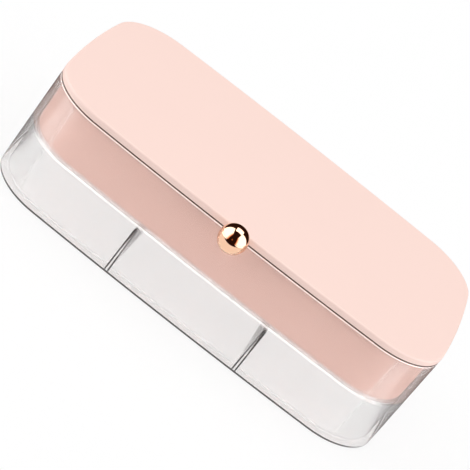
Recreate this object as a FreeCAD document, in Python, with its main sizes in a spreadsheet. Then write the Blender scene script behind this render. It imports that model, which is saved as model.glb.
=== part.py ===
# Travel jewellery case: a clear box with two partitions, a clear shelf, a
# lift-out tray and a flip lid, hinged to the tray and opened by a ball knob.
# All lengths are in millimetres. +Z is up, X runs along the case and the
# knob is at the front, towards -Y. The origin is the centre of the base.
import FreeCAD, Part
import Sketcher
import math
import os

DIMENSIONS = [
    # outline shared by the case, the tray and the lid
    ("case_width", 184.0),
    ("case_depth", 112.0),
    ("corner_radius", 25.3),
    ("long_bow", 2.7),
    ("short_bow", 3.85),
    # clear case
    ("case_height", 46.0),
    ("case_wall", 2.4),
    ("case_floor", 1.6),
    ("base_chamfer", 0.6),
    ("cavity_chamfer", 0.8),
    ("rim_chamfer", 0.3),
    ("partition_spacing", 61.4),
    ("partition_foot", 2.0),
    ("partition_crest", 1.2),
    # clear shelf that rests on the partitions and carries the tray
    ("shelf_gap", 0.15),
    ("shelf_height", 23.35),
    ("shelf_thickness", 0.9),
    ("shelf_ledge", 6.15),
    ("opening_corner", 3.5),
    ("opening_long_bow", 1.2),
    ("opening_short_bow", 3.0),
    # tray
    ("tray_gap", 0.5),
    ("tray_seat_gap", 0.15),
    ("tray_wall", 1.6),
    ("tray_floor", 1.6),
    ("tray_rim_drop", 0.2),
    ("tray_base_chamfer", 1.7),
    ("dish_chamfer", 1.6),
    ("rib_thickness", 1.6),
    ("rib_drop", 3.4),
    ("rib_chamfer", 0.3),
    ("rib_bite", 0.7),
    ("long_rib_place", 6.0),
    ("rear_rib_spacing", 44.0),
    # lid
    ("lid_gap", 0.3),
    ("lid_edge", 2.7),
    ("lid_plate", 2.0),
    ("lid_chamfer", 0.6),
    ("lid_lip_gap", 0.4),
    ("lid_lip_thickness", 1.4),
    ("lid_lip_depth", 2.0),
    # hinges
    ("hinge_spacing", 96.0),
    ("hinge_setback", 2.5),
    ("hinge_drop", 1.6),
    ("knuckle_radius", 2.4),
    ("tray_knuckle", 12.0),
    ("lid_knuckle", 6.0),
    ("knuckle_gap", 0.35),
    ("pin_radius", 1.0),
    ("pin_clearance", 0.06),
    ("pin_inset", 0.2),
    ("arm_thickness", 3.2),
    ("arm_clearance", 0.4),
    ("lug_root", 3.6),
    ("lug_crest", 0.4),
    # ball knob
    ("ball_radius", 6.0),
    ("neck_radius", 1.3),
    ("neck_length", 0.8),
    ("stud_radius", 0.8),
    ("stud_in_ball", 4.0),
    ("stud_in_lid", 9.0),
    ("boss_width", 8.0),
    ("boss_depth", 2.0),
    ("boss_length", 6.5),
]


class Length:
    """A length with its value and the expression that gives it."""

    def __init__(self, value, text):
        self.value = value
        self.text = text

    def __add__(self, other):
        return Length(self.value + other.value, "(%s + %s)" % (self.text, other.text))

    def __sub__(self, other):
        return Length(self.value - other.value, "(%s - %s)" % (self.text, other.text))

    def __mul__(self, factor):
        if isinstance(factor, Length):
            return Length(self.value * factor.value, "%s * %s" % (self.text, factor.text))
        return Length(self.value * factor, "(%s * %s)" % (self.text, repr(float(factor))))

    def __truediv__(self, divisor):
        if isinstance(divisor, Length):
            return Length(self.value / divisor.value, "(%s) / (%s)" % (self.text, divisor.text))
        return Length(self.value / divisor, "(%s / %s)" % (self.text, repr(float(divisor))))

    def __neg__(self):
        return Length(-self.value, "(0 mm - %s)" % self.text)


doc = FreeCAD.newDocument("JewelleryCase")
sheet = doc.addObject("Spreadsheet::Sheet", "Dimensions")
size = {}
for row, (name, number) in enumerate(DIMENSIONS, start=1):
    sheet.set("A%d" % row, name)
    sheet.set("B%d" % row, repr(number))
    sheet.setAlias("B%d" % row, name)
    size[name] = Length(number, "(Dimensions.%s * 1 mm)" % name)
doc.recompute()

ZERO = Length(0.0, "0 mm")
X, Y, Z = FreeCAD.Vector(1, 0, 0), FreeCAD.Vector(0, 1, 0), FreeCAD.Vector(0, 0, 1)
# the sketcher's own numbers for an element's points, for the axes and for the origin
START, END, CENTRE = range(1, 4)
Y_AXIS, X_AXIS = range(-2, 0)
ORIGIN = (X_AXIS, START)


class Outline:
    """A bowed rounded rectangle: its half sizes, its corner and its two bows."""

    def __init__(self, half_width, half_depth, corner, long_bow, short_bow):
        self.corner = corner
        self.long_radius = (half_width * half_width + long_bow * long_bow) / (long_bow * 2)
        self.short_radius = (half_depth * half_depth + short_bow * short_bow) / (short_bow * 2)
        self.long_offset = self.long_radius - half_depth
        self.short_offset = self.short_radius - half_width

    def corner_centre(self):
        """Centre of the front right corner arc, tangent inside both bowed sides."""
        to_long = self.long_radius.value - self.corner.value
        to_short = self.short_radius.value - self.corner.value
        long_y = self.long_offset.value
        short_x = -self.short_offset.value
        span = math.hypot(short_x, long_y)
        along = (to_long ** 2 - to_short ** 2 + span ** 2) / (2 * span)
        across = math.sqrt(to_long ** 2 - along ** 2)
        unit_x, unit_y = short_x / span, -long_y / span
        x = along * unit_x - across * unit_y
        y = long_y + along * unit_y + across * unit_x
        return abs(x), -abs(y)


def new_body(name):
    body = doc.addObject("PartDesign::Body", name)
    body.Label = name
    return body


def new_sketch(body, name, plane="XY_Plane", offset=ZERO):
    """A sketch on one of the body's own origin planes, moved along its normal."""
    sketch = body.newObject("Sketcher::SketchObject", name)
    support = [f for f in body.Origin.OriginFeatures if f.Role == plane][0]
    sketch.AttachmentSupport = [(support, "")]
    sketch.MapMode = "FlatFace"
    sketch.AttachmentOffset = FreeCAD.Placement(FreeCAD.Vector(0, 0, offset.value), FreeCAD.Rotation())
    sketch.setExpression("AttachmentOffset.Base.z", offset.text)
    return sketch


def constrain(sketch, kind, *args, length=None):
    """Add a constraint, and bind it to a length where one is given."""
    if length is None:
        return sketch.addConstraint(Sketcher.Constraint(kind, *args))
    index = sketch.addConstraint(Sketcher.Constraint(kind, *args, length.value))
    name = "size_%d" % index
    sketch.renameConstraint(index, name)
    sketch.setExpression("Constraints." + name, length.text)
    return index


def place(sketch, element, point, x, y):
    """Fix one point of a sketch element at x, y from the origin."""
    for kind, axis, length in (("DistanceX", Y_AXIS, x), ("DistanceY", X_AXIS, y)):
        if length.value > 0:
            constrain(sketch, kind, *ORIGIN, element, point, length=length)
        elif length.value < 0:
            constrain(sketch, kind, element, point, *ORIGIN, length=-length)
        else:
            constrain(sketch, "PointOnObject", element, point, axis)


def add_outline(sketch, shape, inset=ZERO):
    """Eight tangent arcs of a bowed rounded rectangle, set in by a length."""
    corner_x, corner_y = shape.corner_centre()
    long_r, short_r = shape.long_radius - inset, shape.short_radius - inset
    corner_r = shape.corner - inset
    long_y, short_x = shape.long_offset.value, shape.short_offset.value
    low = math.atan2(corner_y - long_y, corner_x)
    high = math.atan2(corner_y, corner_x + short_x)
    quarter = math.pi
    arcs = [
        (0.0, long_y, long_r, -quarter - low, low),
        (corner_x, corner_y, corner_r, low, high),
        (-short_x, 0.0, short_r, high, -high),
        (corner_x, -corner_y, corner_r, -high, -low),
        (0.0, -long_y, long_r, -low, quarter + low),
        (-corner_x, -corner_y, corner_r, quarter + low, quarter + high),
        (short_x, 0.0, short_r, quarter + high, quarter - high),
        (-corner_x, corner_y, corner_r, quarter - high, -quarter - low),
    ]
    first = sketch.GeometryCount
    for x, y, radius, begin, finish in arcs:
        circle = Part.Circle(FreeCAD.Vector(x, y, 0), Z, radius.value)
        sketch.addGeometry(Part.ArcOfCircle(circle, begin, finish), False)
    front, corner, right, _, back, _, left, _ = range(first, first + 8)
    for index in range(8):
        following = first + (index + 1) % 8
        constrain(sketch, "Tangent", first + index, END, following, START)
    for arc, axis in ((front, Y_AXIS), (back, Y_AXIS), (right, X_AXIS), (left, X_AXIS)):
        constrain(sketch, "PointOnObject", arc, CENTRE, axis)
    constrain(sketch, "Radius", corner, length=corner_r)
    for index in (3, 5, 7):
        constrain(sketch, "Equal", corner, first + index)
    constrain(sketch, "Radius", front, length=long_r)
    constrain(sketch, "Equal", front, back)
    constrain(sketch, "Radius", right, length=short_r)
    constrain(sketch, "Equal", right, left)
    constrain(sketch, "DistanceY", *ORIGIN, front, CENTRE, length=shape.long_offset)
    constrain(sketch, "DistanceY", back, CENTRE, *ORIGIN, length=shape.long_offset)
    constrain(sketch, "DistanceX", right, CENTRE, *ORIGIN, length=shape.short_offset)
    constrain(sketch, "DistanceX", *ORIGIN, left, CENTRE, length=shape.short_offset)


def add_polygon(sketch, points):
    """A closed run of straight lines, each corner fixed by its two lengths."""
    first = sketch.GeometryCount
    corners = [FreeCAD.Vector(x.value, y.value, 0) for x, y in points]
    for index, corner in enumerate(corners):
        following = corners[(index + 1) % len(corners)]
        sketch.addGeometry(Part.LineSegment(corner, following), False)
    for index, (x, y) in enumerate(points):
        following = (index + 1) % len(points)
        constrain(sketch, "Coincident", first + index, END, first + following, START)
        place(sketch, first + index, START, x, y)


def add_box(sketch, low_x, high_x, low_y, high_y):
    add_polygon(sketch, [(low_x, low_y), (high_x, low_y), (high_x, high_y), (low_x, high_y)])


def add_circle(sketch, x, y, radius):
    circle = Part.Circle(FreeCAD.Vector(x.value, y.value, 0), Z, radius.value)
    index = sketch.addGeometry(circle, False)
    place(sketch, index, CENTRE, x, y)
    constrain(sketch, "Radius", index, length=radius)


def extrude(body, kind, sketch, length, reverse=False, midplane=False):
    """Pad or Pocket a sketch; a cut has to take something away."""
    doc.recompute()
    before = body.Shape.Volume if body.Tip else 0.0
    feature = body.newObject("PartDesign::" + kind, sketch.Name.replace("Sketch", kind))
    feature.Profile = sketch
    feature.setExpression("Length", length.text)
    feature.Reversed = reverse
    if midplane:
        feature.SideType = "Symmetric"
    body.Tip = feature
    doc.recompute()
    change = feature.Shape.Volume - before
    if (kind == "Pad") != (change > 0):
        raise RuntimeError("%s changes the volume by %.3f" % (feature.Name, change))
    return feature


def chamfer(body, name, edges, length):
    """Chamfer the edges of the body's last feature."""
    base = body.Tip
    feature = body.newObject("PartDesign::Chamfer", name)
    feature.Base = (base, edges)
    feature.setExpression("Size", length.text)
    body.Tip = feature
    doc.recompute()
    return feature


def level_edges(body, level, accept=None):
    """Names of the body's edges that lie flat at one height."""
    names = []
    for index, edge in enumerate(body.Shape.Edges, start=1):
        box = edge.BoundBox
        flat = abs(box.ZMin - level.value) < 1e-4 and abs(box.ZMax - level.value) < 1e-4
        if flat and (accept is None or accept(edge)):
            names.append("Edge%d" % index)
    return names


s = size
half_width = s["case_width"] / 2
half_depth = s["case_depth"] / 2
case_outline = Outline(half_width, half_depth, s["corner_radius"], s["long_bow"], s["short_bow"])
cavity_inset = s["case_wall"]
shelf_inset = cavity_inset + s["shelf_gap"]
opening_inset = shelf_inset + s["shelf_ledge"]
opening_outline = Outline(half_width - opening_inset, half_depth - opening_inset, s["opening_corner"],
                          s["opening_long_bow"], s["opening_short_bow"])
tray_inset = cavity_inset + s["tray_gap"]
tray_inner_inset = tray_inset + s["tray_wall"]
lip_inset = tray_inner_inset + s["lid_lip_gap"]
lip_inner_inset = lip_inset + s["lid_lip_thickness"]

shelf_under = s["shelf_height"] - s["shelf_thickness"]
tray_bottom = s["shelf_height"] + s["tray_seat_gap"]
tray_floor_top = tray_bottom + s["tray_floor"]
tray_rim = s["case_height"] - s["tray_rim_drop"]
rib_top = tray_rim - s["rib_drop"]
lid_bottom = s["case_height"] + s["lid_gap"]
lid_top = lid_bottom + s["lid_edge"]
lid_underside = lid_top - s["lid_plate"]

hinge_y = half_depth + s["hinge_setback"]
hinge_z = s["case_height"] - s["hinge_drop"]
hinge_places = (-s["hinge_spacing"] / 2, s["hinge_spacing"] / 2)
hinge_half = s["tray_knuckle"] / 2 + s["knuckle_gap"] + s["lid_knuckle"]
knob_z = lid_bottom + s["lid_edge"] / 2
ball_y = -(half_depth + s["neck_length"] + s["ball_radius"])


def make_case():
    """Clear box: bowed walls, two drafted partitions and two notches for the hinge arms."""
    body = new_body("clear_case")
    sketch = new_sketch(body, "CaseSketch")
    add_outline(sketch, case_outline)
    extrude(body, "Pad", sketch, s["case_height"])
    chamfer(body, "CaseBaseChamfer", level_edges(body, ZERO), s["base_chamfer"])
    sketch = new_sketch(body, "CavitySketch", offset=s["case_height"])
    add_outline(sketch, case_outline, cavity_inset)
    extrude(body, "Pocket", sketch, s["case_height"] - s["case_floor"])
    chamfer(body, "CavityChamfer", level_edges(body, s["case_floor"]), s["cavity_chamfer"])
    chamfer(body, "CaseRimChamfer", level_edges(body, s["case_height"]), s["rim_chamfer"])

    reach = half_depth - s["case_wall"] / 2 - partition_bow()
    foot, crest = s["partition_foot"] / 2, s["partition_crest"] / 2
    low, high = s["case_floor"] / 2, shelf_under - s["shelf_gap"]
    for number, side in enumerate((-1, 1), start=1):
        middle = s["partition_spacing"] * side / 2
        sketch = new_sketch(body, "PartitionSketch%d" % number, "XZ_Plane")
        add_polygon(sketch, [(middle - foot, low), (middle + foot, low),
                             (middle + crest, high), (middle - crest, high)])
        extrude(body, "Pad", sketch, reach * 2, midplane=True)

    notch_half = s["tray_knuckle"] / 2 + s["arm_clearance"]
    notch_depth = s["hinge_drop"] + s["knuckle_radius"] + s["arm_clearance"]
    for number, middle in enumerate(hinge_places, start=1):
        sketch = new_sketch(body, "NotchSketch%d" % number, offset=s["case_height"])
        add_box(sketch, middle - notch_half, middle + notch_half, half_depth - s["case_wall"] * 4, hinge_y)
        extrude(body, "Pocket", sketch, notch_depth)
    return body


def partition_bow():
    """How far the bowed long wall has come in where a partition meets it."""
    place_x = s["partition_spacing"] / 2 + s["partition_foot"] / 2
    return place_x * place_x / (case_outline.long_radius * 2)


def make_shelf():
    """Clear ring that rests on the partitions and carries the tray."""
    body = new_body("tray_shelf")
    sketch = new_sketch(body, "ShelfSketch", offset=shelf_under)
    add_outline(sketch, case_outline, shelf_inset)
    add_outline(sketch, opening_outline)
    extrude(body, "Pad", sketch, s["shelf_thickness"])
    return body


def make_tray():
    """Moulded tray: shallow dish, low ribs, and two arms that carry the hinge knuckles."""
    body = new_body("upper_tray")
    sketch = new_sketch(body, "TraySketch", offset=tray_bottom)
    add_outline(sketch, case_outline, tray_inset)
    extrude(body, "Pad", sketch, tray_rim - tray_bottom)
    chamfer(body, "TrayBaseChamfer", level_edges(body, tray_bottom), s["tray_base_chamfer"])
    sketch = new_sketch(body, "DishSketch", offset=tray_rim)
    add_outline(sketch, case_outline, tray_inner_inset)
    extrude(body, "Pocket", sketch, tray_rim - tray_floor_top)
    chamfer(body, "DishChamfer", level_edges(body, tray_floor_top), s["dish_chamfer"])

    rib_half = s["rib_thickness"] / 2
    inner_x = half_width - tray_inner_inset + s["rib_bite"]
    inner_y = half_depth - tray_inner_inset
    long_y = s["long_rib_place"]
    sketch = new_sketch(body, "LongRibSketch", offset=tray_bottom + s["tray_floor"] / 2)
    add_box(sketch, -inner_x, inner_x, long_y - rib_half, long_y + rib_half)
    rib_height = rib_top - tray_bottom - s["tray_floor"] / 2
    extrude(body, "Pad", sketch, rib_height)
    rear = s["rear_rib_spacing"]
    for number, middle in enumerate((-rear, ZERO, rear), start=1):
        end = inner_y - middle * middle / (case_outline.long_radius * 2) + s["rib_bite"]
        sketch = new_sketch(body, "CrossRibSketch%d" % number, offset=tray_bottom + s["tray_floor"] / 2)
        add_box(sketch, middle - rib_half, middle + rib_half, long_y, end)
        extrude(body, "Pad", sketch, rib_height)
    chamfer(body, "RibChamfer", level_edges(body, rib_top, is_rib_side), s["rib_chamfer"])

    arm_low = hinge_z - s["knuckle_radius"]
    wall_y = half_depth - tray_inset - s["long_bow"] * (s["hinge_spacing"] / s["case_width"])
    for number, middle in enumerate(hinge_places, start=1):
        sketch = new_sketch(body, "ArmSketch%d" % number, "YZ_Plane", middle)
        add_box(sketch, wall_y, hinge_y, arm_low, arm_low + s["arm_thickness"])
        extrude(body, "Pad", sketch, s["tray_knuckle"], midplane=True)
        sketch = new_sketch(body, "TrayKnuckleSketch%d" % number, "YZ_Plane", middle)
        add_circle(sketch, hinge_y, hinge_z, s["knuckle_radius"])
        extrude(body, "Pad", sketch, s["tray_knuckle"], midplane=True)
        sketch = new_sketch(body, "TrayBoreSketch%d" % number, "YZ_Plane", middle)
        add_circle(sketch, hinge_y, hinge_z, s["pin_radius"])
        extrude(body, "Pocket", sketch, s["tray_knuckle"] * 1.5, midplane=True)
    return body


def is_rib_side(edge):
    """True for the long straight edges along the top of a rib."""
    straight = isinstance(edge.Curve, (Part.Line, Part.LineSegment))
    return straight and edge.Length > size["rib_thickness"].value * 2


def make_lid():
    """Flip lid: bowed plate, locating lip, knob boss and four hinge lugs."""
    body = new_body("lid")
    sketch = new_sketch(body, "LidSketch", offset=lid_bottom)
    add_outline(sketch, case_outline)
    extrude(body, "Pad", sketch, s["lid_edge"])
    chamfer(body, "LidTopChamfer", level_edges(body, lid_top), s["lid_chamfer"])
    sketch = new_sketch(body, "RecessSketch", offset=lid_bottom)
    add_outline(sketch, case_outline, lip_inner_inset)
    extrude(body, "Pocket", sketch, s["lid_edge"] - s["lid_plate"], reverse=True)
    sketch = new_sketch(body, "LidLipSketch", offset=lid_bottom)
    add_outline(sketch, case_outline, lip_inset)
    add_outline(sketch, case_outline, lip_inner_inset)
    extrude(body, "Pad", sketch, s["lid_lip_depth"], reverse=True)

    boss_front = -(half_depth - lip_inset) + s["lid_lip_thickness"] / 2
    boss_half = s["boss_width"] / 2
    sketch = new_sketch(body, "BossSketch", offset=lid_underside)
    add_box(sketch, -boss_half, boss_half, boss_front, boss_front + s["boss_length"])
    extrude(body, "Pad", sketch, s["boss_depth"], reverse=True)
    sketch = new_sketch(body, "StudHoleSketch", "XZ_Plane", half_depth)
    add_circle(sketch, ZERO, knob_z, s["stud_radius"])
    extrude(body, "Pocket", sketch, s["stud_in_lid"])

    lug_middle = s["tray_knuckle"] / 2 + s["knuckle_gap"] + s["lid_knuckle"] / 2
    crest = lid_top - s["lug_crest"]
    root = hinge_y - s["knuckle_radius"] - s["lug_root"]
    radius = s["knuckle_radius"]
    tangent_run, tangent_rise = radius * 0.38, radius * 0.925
    number = 0
    for middle in hinge_places:
        for side in (-1, 1):
            number += 1
            lug_x = middle + lug_middle * side
            sketch = new_sketch(body, "LugSketch%d" % number, "YZ_Plane", lug_x)
            add_polygon(sketch, [(root, crest), (hinge_y - radius * 1.6, crest),
                                 (hinge_y + tangent_run, hinge_z + tangent_rise),
                                 (hinge_y + radius, hinge_z), (hinge_y + radius, hinge_z - radius),
                                 (hinge_y, hinge_z - radius), (hinge_y - radius, hinge_z),
                                 (hinge_y - radius, lid_bottom), (root, lid_bottom)])
            extrude(body, "Pad", sketch, s["lid_knuckle"], midplane=True)
            sketch = new_sketch(body, "LidKnuckleSketch%d" % number, "YZ_Plane", lug_x)
            add_circle(sketch, hinge_y, hinge_z, radius)
            extrude(body, "Pad", sketch, s["lid_knuckle"], midplane=True)
            sketch = new_sketch(body, "LidBoreSketch%d" % number, "YZ_Plane", lug_x)
            add_circle(sketch, hinge_y, hinge_z, s["pin_radius"] + s["pin_clearance"])
            extrude(body, "Pocket", sketch, s["lid_knuckle"] * 1.5, midplane=True)
    return body


def make_pin(name, middle):
    """Plain steel hinge pin."""
    body = new_body(name)
    sketch = new_sketch(body, "PinSketch", "YZ_Plane", middle)
    add_circle(sketch, hinge_y, hinge_z, s["pin_radius"])
    extrude(body, "Pad", sketch, (hinge_half - s["pin_inset"]) * 2, midplane=True)
    return body


def make_ball():
    """Turned ball with a short neck against the lid's edge and a hole for the stud."""
    ball = doc.addObject("Part::Sphere", "Ball")
    ball.setExpression("Radius", s["ball_radius"].text)
    neck = doc.addObject("Part::Cylinder", "Neck")
    neck.setExpression("Radius", s["neck_radius"].text)
    neck.setExpression("Height", (s["ball_radius"] + s["neck_length"]).text)
    whole = doc.addObject("Part::Fuse", "BallAndNeck")
    whole.Base, whole.Tool = ball, neck
    hole = doc.addObject("Part::Cylinder", "StudHole")
    hole.setExpression("Radius", s["stud_radius"].text)
    hole.setExpression("Height", (s["stud_in_ball"] + s["neck_length"]).text)
    hole.setExpression("Placement.Base.z", (s["ball_radius"] - s["stud_in_ball"]).text)
    knob = doc.addObject("Part::Cut", "knob_ball")
    knob.Base, knob.Tool = whole, hole
    knob.Label = "knob_ball"
    knob.Placement = FreeCAD.Placement(FreeCAD.Vector(0, ball_y.value, knob_z.value),
                                       FreeCAD.Rotation(X, -90))
    knob.setExpression("Placement.Base.y", ball_y.text)
    knob.setExpression("Placement.Base.z", knob_z.text)
    doc.recompute()
    return knob


def make_stud():
    """Steel stud that joins the ball to the lid's edge."""
    body = new_body("knob_stud")
    ball_end = half_depth + s["neck_length"] + s["stud_in_ball"]
    sketch = new_sketch(body, "StudSketch", "XZ_Plane", ball_end)
    add_circle(sketch, ZERO, knob_z, s["stud_radius"])
    extrude(body, "Pad", sketch, s["stud_in_ball"] + s["neck_length"] + s["stud_in_lid"], reverse=True)
    return body


nodes = [
    make_case(),
    make_shelf(),
    make_tray(),
    make_lid(),
    make_pin("hinge_pin_left", hinge_places[0]),
    make_pin("hinge_pin_right", hinge_places[1]),
    make_ball(),
    make_stud(),
]
doc.recompute()

for item in doc.Objects:
    if "Invalid" in item.State or "Error" in item.State:
        raise RuntimeError("%s failed: %s" % (item.Name, item.State))
for node in nodes:
    if node.Shape.isNull() or not node.Shape.isValid():
        raise RuntimeError("%s has no valid shape" % node.Label)

os.makedirs("parts", exist_ok=True)
for node in nodes:
    node.Shape.exportStep("parts/%s.step" % node.Label)
    box = node.Shape.BoundBox
    print("%-16s solids %d volume %9.1f  x %.2f %.2f  y %.2f %.2f  z %.2f %.2f" % (
        node.Label, len(node.Shape.Solids), node.Shape.Volume,
        box.XMin, box.XMax, box.YMin, box.YMax, box.ZMin, box.ZMax))
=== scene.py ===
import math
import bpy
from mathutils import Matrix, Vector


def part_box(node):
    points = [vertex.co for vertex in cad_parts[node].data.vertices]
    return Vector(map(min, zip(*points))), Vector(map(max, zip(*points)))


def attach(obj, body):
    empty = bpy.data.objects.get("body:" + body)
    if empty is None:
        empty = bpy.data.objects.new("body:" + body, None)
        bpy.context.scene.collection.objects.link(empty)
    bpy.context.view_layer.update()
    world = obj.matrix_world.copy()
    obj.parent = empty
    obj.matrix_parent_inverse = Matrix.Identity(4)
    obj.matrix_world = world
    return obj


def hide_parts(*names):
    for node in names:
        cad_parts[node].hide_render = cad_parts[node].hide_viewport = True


bl_info = {
    "name": "Clear Jewellery Box",
    "version": (1, 0, 0),
    "blender": (4, 5, 0),
    "location": "3D View > Sidebar > Jewellery Box",
    "description": "Dresses a clear jewellery box with its shelf, blush tray, flip lid and ball knob",
    "category": "Object",
}

import bmesh
import bpy
from bpy.props import FloatProperty, FloatVectorProperty, PointerProperty
from mathutils import Matrix, Quaternion, Vector

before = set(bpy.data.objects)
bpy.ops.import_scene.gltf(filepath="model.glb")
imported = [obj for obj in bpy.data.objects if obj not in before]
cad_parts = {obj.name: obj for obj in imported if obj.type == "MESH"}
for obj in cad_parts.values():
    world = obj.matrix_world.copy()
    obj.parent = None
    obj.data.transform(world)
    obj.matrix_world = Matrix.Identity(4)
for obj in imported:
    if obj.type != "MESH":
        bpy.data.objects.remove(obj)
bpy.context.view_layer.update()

MM = 0.001
CASE_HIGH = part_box("clear_case")[1]
TRAY_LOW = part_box("upper_tray")[0]
LID_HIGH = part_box("lid")[1]
SHELF_LOW, SHELF_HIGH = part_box("tray_shelf")
BALL_LOW, BALL_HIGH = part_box("knob_ball")
STUD_LOW, STUD_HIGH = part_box("knob_stud")
PIN_LOW, PIN_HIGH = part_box("hinge_pin_right")

HALF_WIDTH = CASE_HIGH.x
HALF_DEPTH = CASE_HIGH.y
CASE_HEIGHT = CASE_HIGH.z
TRAY_BOTTOM = TRAY_LOW.z
LID_TOP = LID_HIGH.z
HINGE_Y = (PIN_LOW.y + PIN_HIGH.y) / 2
HINGE_Z = (PIN_LOW.z + PIN_HIGH.z) / 2
HINGE_X = (PIN_LOW.x + PIN_HIGH.x) / 2
PIN_RADIUS = (PIN_HIGH.z - PIN_LOW.z) / 2
BALL_RADIUS = BALL_HIGH.x
BALL_CENTRE = Vector((0.0, BALL_LOW.y + BALL_RADIUS, (BALL_LOW.z + BALL_HIGH.z) / 2))
KEEP_ANGLE = math.radians(38)

# Loops that keep flat faces flat beside a round, closer together on the lid's thin side
LOOP = 0.5 * MM
LOW_LOOP, HIGH_LOOP = 0.3 * MM, 0.2 * MM
# Bevel of the thin clear edges
THIN_BEVEL = 0.15 * MM
# A rib's top edge lies at one height within the first and is longer than the second
TOUCH, SHORT_EDGE = 0.001 * MM, 5.0 * MM
# How far a cutter reaches past the ends of a bore and above a notch
BORE_REACH, NOTCH_REACH = 2.0 * MM, 5.0 * MM

# Noise scales in bumps per metre
FLOW_SCALE, RIPPLE_SCALE = 28.0, 60.0
TONE_SCALE, GRAIN_SCALE = 16.0, 900.0
DRIFT_SCALE, HAIRLINE_SCALE = 90.0, 2600.0
WIRE_LINES = (60.0, 4000.0, 4000.0)

# Hollow where a tray arm meets its knuckle: back from the hinge and up from the arm, in knuckle radii
SADDLE = ((0.86, 0.24), (1.25, 0.0))
# Where a lid lug's slope begins in front of the hinge, in knuckle radii
LUG_CREST = 1.6
# Where that slope ends on the knuckle, behind and above the hinge in knuckle radii
LUG_SLOPE_END = (0.38, 0.925)

# Painted lines in the clear plastic, a painted highlight and a painted shade below the rim and a painted
# highlight below the shelf's top: depth below the rim or the shelf's top, half the width and softness
RIM_PAINTED_HIGHLIGHT = (0.52 * MM, 0.22 * MM, 0.08 * MM)
RIM_PAINTED_SHADE = (1.1 * MM, 0.18 * MM, 0.12 * MM)
SHELF_PAINTED_HIGHLIGHT = (0.4 * MM, 0.3 * MM, 0.04 * MM)
# Painted highlight above the foot: height, half the width and softness
FOOT_PAINTED_HIGHLIGHT = (1.35 * MM, 0.25 * MM, 0.1 * MM)
# Painted shade line in a partition's edge: share of the way from its middle to its face, half the width and
# softness
PARTITION_PAINTED_SHADE = (0.7, 0.33 * MM, 0.06 * MM)
# Heights where the darkest part of that painted line ends and where painted grazing shade begins, with
# their softness
HEEL = (9.0 * MM, 0.6 * MM)
GRAZING_FOOT = (2.5 * MM, 0.5 * MM)
# How thick the underside and the long sides' outer skin count, with their softness
UNDERSIDE = (0.05 * MM, 0.02 * MM)
OUTER_SKIN = (1.8 * MM, 0.1 * MM)
# From where a wall counts as seen edge-on and gets painted grazing shade, with 0 for straight on and 1 for
# edge-on, and its softness
GRAZING = (0.89, 0.09)
# Softness of the shade painted along the foot and along the seam
FOOT_SOFT, SEAM_SOFT = 0.06 * MM, 0.04 * MM
# How dark a partition's painted shade line is above its heel
PARTITION_SHADE_DARKNESS = 0.94
# How much the rim's painted shade is seen and how dark it is painted
SHADE_SHOWN, SHADE_DARK = 0.8, 0.45

# How far the studio floor lies below the case
FLOOR_DROP = 0.3 * MM
# Softness of the white sheet's front and side edges, and of its rear edge
SHEET_EDGE, SHEET_FADE = 0.004, 0.01
# Where in front of the box the side soft boxes turn to their edge colour, and how softly
SOFTBOX_EDGE = (0.80, 0.22)

WHITE, BLACK = (1.0, 1.0, 1.0, 1.0), (0.0, 0.0, 0.0, 1.0)


def length(name, default, description):
    return FloatProperty(name=name, default=default, description=description, unit="LENGTH", precision=4)


def colour(name, default, description):
    return FloatVectorProperty(name=name, default=default, description=description,
                               subtype="COLOR", size=3, min=0.0, max=1.0)


def share(name, default, description, high=1.0):
    return FloatProperty(name=name, default=default, description=description,
                         subtype="FACTOR", min=0.0, max=high)


class CaseSettings(bpy.types.PropertyGroup):
    """Sizes of the clear case, its partitions and its shelf."""
    corner: length("Corner radius", 25.3 * MM, "Radius of the four upright corners")
    long_bow: length("Long side bow", 2.7 * MM, "How far the long sides bulge")
    short_bow: length("Short side bow", 3.85 * MM, "How far the short sides bulge")
    wall: length("Wall", 2.4 * MM, "Thickness of the clear walls")
    floor: length("Floor", 1.6 * MM, "Thickness of the clear floor")
    base_round: length("Base round", 0.7 * MM, "Round of the outer bottom edge")
    inner_round: length("Inner round", 1.2 * MM, "Round between the walls and the floor inside")
    rim_round: length("Rim round", 0.5 * MM, "Round of the rim's two edges")
    # Painted shade: dark lines painted along the rim's top and along the base
    painted_seam_shade: length("Seam line", 0.2 * MM, "Depth of the dark line along the rim's top")
    painted_foot_shade: length("Foot line", 1.1 * MM, "Height of the dark line along the base")
    notch_width: length("Notch width", 12.8 * MM, "Width of the rear notches for the tray's arms")
    notch_depth: length("Notch depth", 4.4 * MM, "Depth of the rear notches")
    notch_round: length("Notch round", 0.6 * MM, "Round of the rear notches")
    partition_spacing: length("Partition spacing", 61.4 * MM, "Distance between the two partitions")
    partition_foot: length("Partition foot", 2.0 * MM, "Thickness of a partition at its foot")
    partition_crest: length("Partition crest", 1.2 * MM, "Thickness of a partition at its top")
    shelf_gap: length("Shelf gap", 0.15 * MM, "Gap round the shelf and above the partitions")
    shelf_ledge: length("Shelf ledge", 6.15 * MM, "Width of the shelf between the wall and its opening")
    opening_corner: length("Opening corner", 3.5 * MM, "Corner radius of the opening")
    opening_long_bow: length("Opening long bow", 1.2 * MM, "Bow of the opening's long sides")
    opening_short_bow: length("Opening short bow", 3.0 * MM, "Bow of the opening's short sides")


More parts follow.
